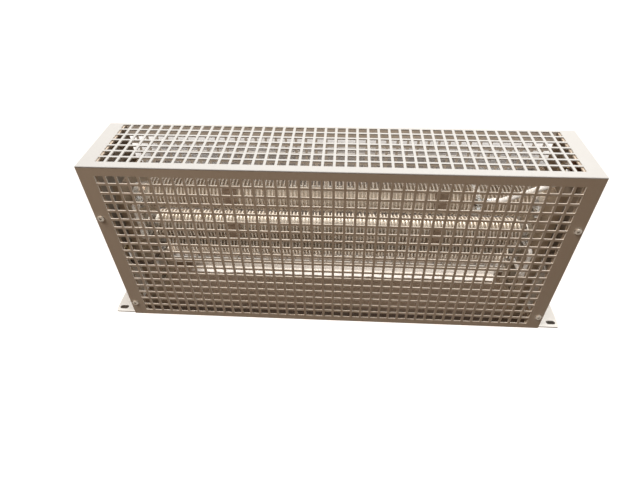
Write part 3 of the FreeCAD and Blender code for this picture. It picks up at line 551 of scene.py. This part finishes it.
def ribbon_tree():
    """A ribbon wound on edge round a tube along X, crimped into waves that grow towards its outer edge."""
    tree, given = new_group("wound_ribbon", "GeometryNodeTree", [
        ("Geometry", "NodeSocketGeometry", None),
        ("Turns", "NodeSocketInt", 100),
        ("Steps Per Turn", "NodeSocketInt", 96),
        ("Pitch", "NodeSocketFloat", 0.0046),
        ("Inner Radius", "NodeSocketFloat", 0.0125),
        ("Outer Radius", "NodeSocketFloat", 0.0194),
        ("Thickness", "NodeSocketFloat", 0.0007),
        ("Waves Per Turn", "NodeSocketFloat", 11.4),
        ("Wave Height", "NodeSocketFloat", 0.0008),
        ("Axis", "NodeSocketVector", None),
        ("Ribbon", "NodeSocketMaterial", None),
    ])
    steps = math_value(tree, "MULTIPLY", given["Turns"], given["Steps Per Turn"])
    strip = add_node(tree, "GeometryNodeMeshCylinder", {
        "Vertices": 4, "Side Segments": steps, "Radius": 1.0, "Depth": 1.0,
    })
    position = add_node(tree, "GeometryNodeInputPosition").outputs[0]
    place = add_node(tree, "ShaderNodeSeparateXYZ", {0: position}).outputs
    along = math_value(tree, "MULTIPLY", place["Z"], given["Turns"])
    angle = math_value(tree, "MULTIPLY", along, math.tau)
    outer = math_value(tree, "GREATER_THAN", math_value(tree, "ADD", place["X"], place["Y"]), 0.0)
    width = math_value(tree, "SUBTRACT", given["Outer Radius"], given["Inner Radius"])
    radius = math_value(tree, "ADD", given["Inner Radius"], math_value(tree, "MULTIPLY", outer, width))
    side = math_value(tree, "SIGN", math_value(tree, "SUBTRACT", place["X"], place["Y"]))
    half = math_value(tree, "MULTIPLY", math_value(tree, "MULTIPLY", side, given["Thickness"]), 0.5)
    swing = math_value(tree, "SINE", math_value(tree, "MULTIPLY", angle, given["Waves Per Turn"]))
    depth = math_value(tree, "MULTIPLY_ADD", outer, 1 - RIBBON_INNER_WAVE)
    depth.node.inputs[2].default_value = RIBBON_INNER_WAVE
    wave = math_value(tree, "MULTIPLY", math_value(tree, "MULTIPLY", swing, depth), given["Wave Height"])
    forward = math_value(tree, "MULTIPLY", along, given["Pitch"])
    x = math_value(tree, "ADD", math_value(tree, "ADD", forward, half), wave)
    y = math_value(tree, "MULTIPLY", radius, math_value(tree, "COSINE", angle))
    z = math_value(tree, "MULTIPLY", radius, math_value(tree, "SINE", angle))
    point = add_node(tree, "ShaderNodeCombineXYZ", {"X": x, "Y": y, "Z": z}).outputs[0]
    moved = add_node(tree, "ShaderNodeVectorMath", {0: point, 1: given["Axis"]}, operation="ADD")
    wound = add_node(tree, "GeometryNodeSetPosition", {
        "Geometry": strip.outputs["Mesh"], "Position": moved.outputs[0],
    })
    end_piece(tree, wound.outputs[0], given["Ribbon"])
    return tree


def windings():
    """A crimped ribbon on each tube in place of the plain comb."""
    tree = ribbon_tree()
    ribbons = {}
    for tube in TUBES:
        low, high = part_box(f"{tube}_winding")
        core_low, core_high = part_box(f"{tube}_tube")
        ribbon = grow(f"{tube}_ribbon", tree, {
            "Turns": RIBBON_TURNS,
            "Steps Per Turn": RIBBON_STEPS,
            "Pitch": RIBBON_PITCH,
            "Inner Radius": (core_high.z - core_low.z) / 2,
            "Outer Radius": (high.z - low.z) / 2,
            "Thickness": RIBBON_THICKNESS,
            "Waves Per Turn": RIBBON_WAVES,
            "Wave Height": RIBBON_WAVE_HEIGHT,
            "Axis": (low + high) / 2,
            "Ribbon": RIBBON,
        })
        face_outwards(ribbon)
        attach(ribbon, "root")
        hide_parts(f"{tube}_winding")
        ribbons[ribbon.name] = ribbon
    return ribbons


def ring_of(work, count, radius, height):
    """A circle of vertices about Z."""
    angles = [math.tau * i / count for i in range(count)]
    spots = [(radius * math.cos(angle), radius * math.sin(angle), height) for angle in angles]
    return [work.verts.new(spot) for spot in spots]


def skin(work, first, second):
    """Faces between two rings of equally many vertices."""
    for i in range(len(first)):
        j = (i + 1) % len(first)
        work.faces.new((first[i], first[j], second[j], second[i]))


def cross_outline(work, reach, half_width, height):
    """The twelve corners of a plus sign."""
    corners = []
    for turn in range(4):
        angle = turn * math.pi / 2
        for x, y in ((half_width, half_width), (half_width, reach), (-half_width, reach)):
            across = x * math.cos(angle) - y * math.sin(angle)
            along = x * math.sin(angle) + y * math.cos(angle)
            corners.append(work.verts.new((across, along, height)))
    return corners


def pan_head():
    """A domed screw head with a tapered cross recess, and its shank, standing on the XY plane."""
    work = bmesh.new()
    foot = ring_of(work, HEAD_CORNERS, SHANK_RADIUS, -SHANK_LENGTH)
    work.faces.new(list(reversed(foot)))
    neck = ring_of(work, HEAD_CORNERS, SHANK_RADIUS, 0)
    skin(work, foot, neck)
    rings = [ring_of(work, HEAD_CORNERS, HEAD_RADIUS, 0)]
    skin(work, neck, rings[0])
    for step in range(1, HEAD_RINGS + 1):
        slope = step / HEAD_RINGS * HEAD_ARC
        radius = HEAD_RADIUS * math.cos(slope) ** HEAD_ROUNDNESS
        height = HEAD_HEIGHT * (HEAD_RIM + (1 - HEAD_RIM) * math.sin(slope) / math.sin(HEAD_ARC))
        rings.append(ring_of(work, HEAD_CORNERS, radius, height))
    for lower, upper in zip(rings, rings[1:]):
        skin(work, lower, upper)
    crown = rings[-1]
    top = cross_outline(work, RECESS_REACH, RECESS_HALF_WIDTH, HEAD_HEIGHT)
    sides = [work.edges.new((a, b)) for a, b in zip(top, top[1:] + top[:1])]
    rim = [work.edges.get((a, b)) for a, b in zip(crown, crown[1:] + crown[:1])]
    bmesh.ops.triangle_fill(work, edges=sides + rim, use_beauty=True)
    bottom = cross_outline(work, RECESS_END_REACH, RECESS_END_HALF_WIDTH, HEAD_HEIGHT - RECESS_DEPTH)
    skin(work, bottom, top)
    work.faces.new(bottom)
    bmesh.ops.recalc_face_normals(work, faces=work.faces)
    mesh = bpy.data.meshes.new("pan_head")
    work.to_mesh(mesh)
    work.free()
    return mesh


def fastener_tree():
    """A copy of one fastener on each point, aimed and turned by the points' own attributes."""
    tree, given = new_group("placed_fasteners", "GeometryNodeTree", [
        ("Geometry", "NodeSocketGeometry", None),
        ("Fastener", "NodeSocketObject", None),
        ("Finish", "NodeSocketMaterial", None),
    ])
    shape = add_node(tree, "GeometryNodeObjectInfo", {"Object": given["Fastener"]}).outputs["Geometry"]
    aim = add_node(tree, "GeometryNodeInputNamedAttribute", {"Name": "aim"}, data_type="FLOAT_VECTOR")
    spin = add_node(tree, "GeometryNodeInputNamedAttribute", {"Name": "spin"}, data_type="FLOAT")
    aimed = add_node(tree, "FunctionNodeAlignRotationToVector", {"Vector": aim.outputs[0]}, axis="Z")
    turned = add_node(tree, "FunctionNodeAxisAngleToRotation", {
        "Axis": (0, 0, 1), "Angle": spin.outputs[0],
    })
    both = add_node(tree, "FunctionNodeRotateRotation", {
        "Rotation": aimed.outputs[0], "Rotate By": turned.outputs[0],
    }, rotation_space="LOCAL")
    placed = add_node(tree, "GeometryNodeInstanceOnPoints", {
        "Points": given["Geometry"], "Instance": shape, "Rotation": both.outputs[0],
    })
    end_piece(tree, placed.outputs[0], given["Finish"])
    return tree


def points_mesh(name, spots):
    """Loose points, each with a direction to face and an angle to turn by."""
    mesh = bpy.data.meshes.new(f"{name}_points")
    mesh.from_pydata([spot for spot, aim, spin in spots], [], [])
    mesh.attributes.new("aim", "FLOAT_VECTOR", "POINT")
    mesh.attributes.new("spin", "FLOAT", "POINT")
    for i, (spot, aim, spin) in enumerate(spots):
        mesh.attributes["aim"].data[i].vector = aim
        mesh.attributes["spin"].data[i].value = spin
    return mesh


def screw_places():
    """Each group of screws by its CAD node: every screw's spot, the way it faces and its turn."""
    low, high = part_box("front_screws")
    inset = HEAD_RADIUS
    corners = [(x, z) for x in (low.x + inset, high.x - inset) for z in (low.z + inset, high.z - inset)]
    groups = {}
    for name, panel, sign in (("front_screws", "front_panel", -1), ("rear_screws", "rear_panel", 1)):
        panel_low, panel_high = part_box(panel)
        y = panel_low.y if sign < 0 else panel_high.y
        groups[name] = [
            ((x, y, z), (0, sign, 0), PANEL_SPIN + PANEL_SPIN_STEP * i) for i, (x, z) in enumerate(corners)
        ]
    for name in ("side_screws", "standoff_screws"):
        spots = []
        box_low, box_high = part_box(name)
        for sign, plate in ((-1, "left_end_plate"), (1, "right_end_plate")):
            plate_low, plate_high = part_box(plate)
            x = plate_low.x if sign < 0 else plate_high.x
            if name == "side_screws":
                z = (box_low.z + box_high.z) / 2
                places = [(y, z) for y in (box_low.y + inset, box_high.y - inset)]
            elif sign < 0:
                places = [(box_low.y + inset, box_low.z + inset)]
            else:
                places = [(box_high.y - inset, box_high.z - inset)]
            for i, (y, z) in enumerate(places):
                spots.append(((x, y, z), (sign, 0, 0), SIDE_SPIN + SIDE_SPIN_STEP * i + sign))
        groups[name] = spots
    return groups


def screws():
    """Cross-recessed screws at every screw of the case."""
    tree = fastener_tree()
    sets = {}
    master = put("pan_head_master", pan_head())
    inputs = {"Fastener": master, "Finish": SHADED_CASE_ZINC}
    for name, spots in screw_places().items():
        piece = grow(f"{name}_set", tree, inputs, points_mesh(name, spots))
        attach(piece, "root")
        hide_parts(name)
        sets[piece.name] = piece
    bpy.data.objects.remove(master)
    return sets


# Studio

def seen_or_felt(tree, felt, seen):
    """A shader that cameras, mirrors and glass see as one thing and diffuse light as another."""
    path = add_node(tree, "ShaderNodeLightPath").outputs
    looked = math_value(tree, "MAXIMUM", path["Is Camera Ray"], path["Is Glossy Ray"])
    looked = math_value(tree, "MAXIMUM", looked, path["Is Transmission Ray"])
    return add_node(tree, "ShaderNodeMixShader", {0: looked, 1: felt, 2: seen}).outputs[0]


def shade_mask(tree):
    """A soft mask over the ground just behind the case for a painted shadow, where its real shadow is
    deepest.
    """
    spot = add_node(tree, "ShaderNodeTexCoord").outputs["Object"]
    place = add_node(tree, "ShaderNodeSeparateXYZ", {0: spot}).outputs
    aside = math_value(tree, "ABSOLUTE", place["X"])
    mask = 1.0
    for value, zone in ((aside, SHADE_SIDE), (place["Y"], SHADE_FRONT), (place["Y"], SHADE_REAR)):
        inside = ramp(tree, value, zone, interpolation_type="SMOOTHSTEP")
        mask = math_value(tree, "MULTIPLY", inside, mask)
    return mask


def ground(name, low, high, level, material):
    """A flat sheet that faces up, given by two opposite corners."""
    (left, front), (right, rear) = low, high
    corners = [(left, front, level), (right, front, level), (right, rear, level), (left, rear, level)]
    mesh = bpy.data.meshes.new(name)
    mesh.from_pydata(corners, [], [(0, 1, 2, 3)])
    mesh.materials.append(material)
    return put(name, mesh)


def pale_floor():
    """A wide floor that looks white and sends warm light back."""
    material = bpy.data.materials.new("pale_floor")
    material.use_nodes = True
    tree = material.node_tree
    tree.nodes.clear()
    warm = add_node(tree, "ShaderNodeBsdfDiffuse", {"Color": (*FLOOR_BOUNCE, 1)}).outputs[0]
    # The floor's colour darkens to a painted shadow just behind the case
    look = mixed(tree, shade_mask(tree), FLOOR_LOOK, FLOOR_SHADE)
    lit = add_node(tree, "ShaderNodeBsdfDiffuse", {"Color": look}).outputs[0]
    glow = add_node(tree, "ShaderNodeEmission", {"Color": (*FLOOR_GLOW, 1), "Strength": 1.0}).outputs[0]
    white = add_node(tree, "ShaderNodeAddShader", {0: lit, 1: glow}).outputs[0]
    end = add_node(tree, "ShaderNodeOutputMaterial")
    tree.links.new(seen_or_felt(tree, warm, white), end.inputs["Surface"])
    floor = ground("floor", (-FLOOR_REACH, -FLOOR_REACH), (FLOOR_REACH, FLOOR_REACH), FLOOR_LEVEL, material)
    return floor


def surroundings():
    """A dim warm room that cameras and reflections see as white."""
    world = bpy.data.worlds.new("studio")
    bpy.context.scene.world = world
    world.use_nodes = True
    tree = world.node_tree
    tree.nodes.clear()
    dim = add_node(tree, "ShaderNodeBackground", {"Color": (*ROOM_GLOW, 1), "Strength": 1.0}).outputs[0]
    bright = add_node(tree, "ShaderNodeBackground", {"Color": (1, 1, 1, 1), "Strength": 1.0}).outputs[0]
    end = add_node(tree, "ShaderNodeOutputWorld")
    tree.links.new(seen_or_felt(tree, dim, bright), end.inputs["Surface"])


def light_set(name, things, state):
    """A set of things for a lamp: these alone, or everything but these."""
    group = bpy.data.collections.new(name)
    for i, thing in enumerate(things):
        group.objects.link(thing)
        group.collection_objects[i].light_linking.link_state = state
    return group


def soft_lamp(name, place, target, sides, watts, colour):
    """A soft box aimed at a point."""
    lamp = bpy.data.lights.new(name, "AREA")
    lamp.shape = "RECTANGLE"
    lamp.size, lamp.size_y = sides
    lamp.energy = watts
    lamp.color = colour
    holder = put(name, lamp)
    holder.location = place
    holder.rotation_euler = (Vector(target) - Vector(place)).to_track_quat("-Z", "Y").to_euler()
    return holder


def floor_lamp(floor):
    """A lamp for the floor alone, stronger with distance, so that the floor is evenly lit to its edge."""
    lamp = bpy.data.lights.new("floor_lamp", "POINT")
    lamp.energy = 1
    lamp.shadow_soft_size = FLOOR_LAMP_RADIUS
    lamp.use_nodes = True
    tree = lamp.node_tree
    tree.nodes.clear()
    reach = add_node(tree, "ShaderNodeLightPath").outputs["Ray Length"]
    cubed = math_value(tree, "POWER", reach, 3.0)
    strength = math_value(tree, "MULTIPLY", cubed, FLOOR_LAMP_STRENGTH)
    glow = add_node(tree, "ShaderNodeEmission", {"Strength": strength}).outputs[0]
    end = add_node(tree, "ShaderNodeOutputLight")
    tree.links.new(glow, end.inputs["Surface"])
    holder = put("floor_lamp", lamp)
    holder.location = FLOOR_LAMP_PLACE
    holder.light_linking.receiver_collection = light_set("floor_lamp_lit", [floor], "INCLUDE")


def slot_shades():
    """Dark sheets of painted shade under the soles, seen only through their slots."""
    material = bpy.data.materials.new("slot_shade")
    material.use_nodes = True
    shader = material.node_tree.nodes["Principled BSDF"].inputs
    shader["Base Color"].default_value = (*SLOT_SHADE, 1)
    shader["Roughness"].default_value = SLOT_ROUGHNESS
    for foot in FEET:
        low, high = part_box(foot)
        near = (low.x + SHADE_INSET, low.y + SHADE_INSET)
        far = (high.x - SHADE_INSET, high.y - SHADE_INSET)
        shade = ground(f"{foot}_shade", near, far, FLOOR_LEVEL / 2, material)


def studio(things):
    """Floor, room, lamps and the solved camera."""
    floor = pale_floor()
    slot_shades()
    surroundings()
    floor_lamp(floor)
    for name, place, sides, watts, colour, unlit in LAMPS:
        linking = soft_lamp(name, place, AIM, sides, watts, colour).light_linking
        left_out = [floor] + [things[piece] for piece in unlit]
        linking.receiver_collection = light_set(f"{name}_unlit", left_out, "EXCLUDE")
    for name, place, sides, watts, colour, lit, shading in INNER_LAMPS:
        linking = soft_lamp(name, place, AIM, sides, watts, colour).light_linking
        receivers = [things[piece] for piece in lit]
        blockers = [things[piece] for piece in shading]
        linking.receiver_collection = light_set(f"{name}_lit", receivers, "INCLUDE")
        linking.blocker_collection = light_set(f"{name}_shading", blockers, "INCLUDE")
    camera = bpy.data.cameras.new("camera")
    camera.lens = CAMERA_LENS
    camera.sensor_width = CAMERA_SENSOR
    camera.clip_start = CAMERA_NEAR
    holder = put("camera", camera)
    holder.location = CAMERA_PLACE
    holder.rotation_euler = [math.radians(angle) for angle in CAMERA_TURN]
    bpy.context.scene.camera = holder
    bpy.context.scene.view_settings.view_transform = "Standard"


for material, names in WEARS:
    for node in names:
        dress(node, material)
studio({**NODES, **windings(), **screws()})
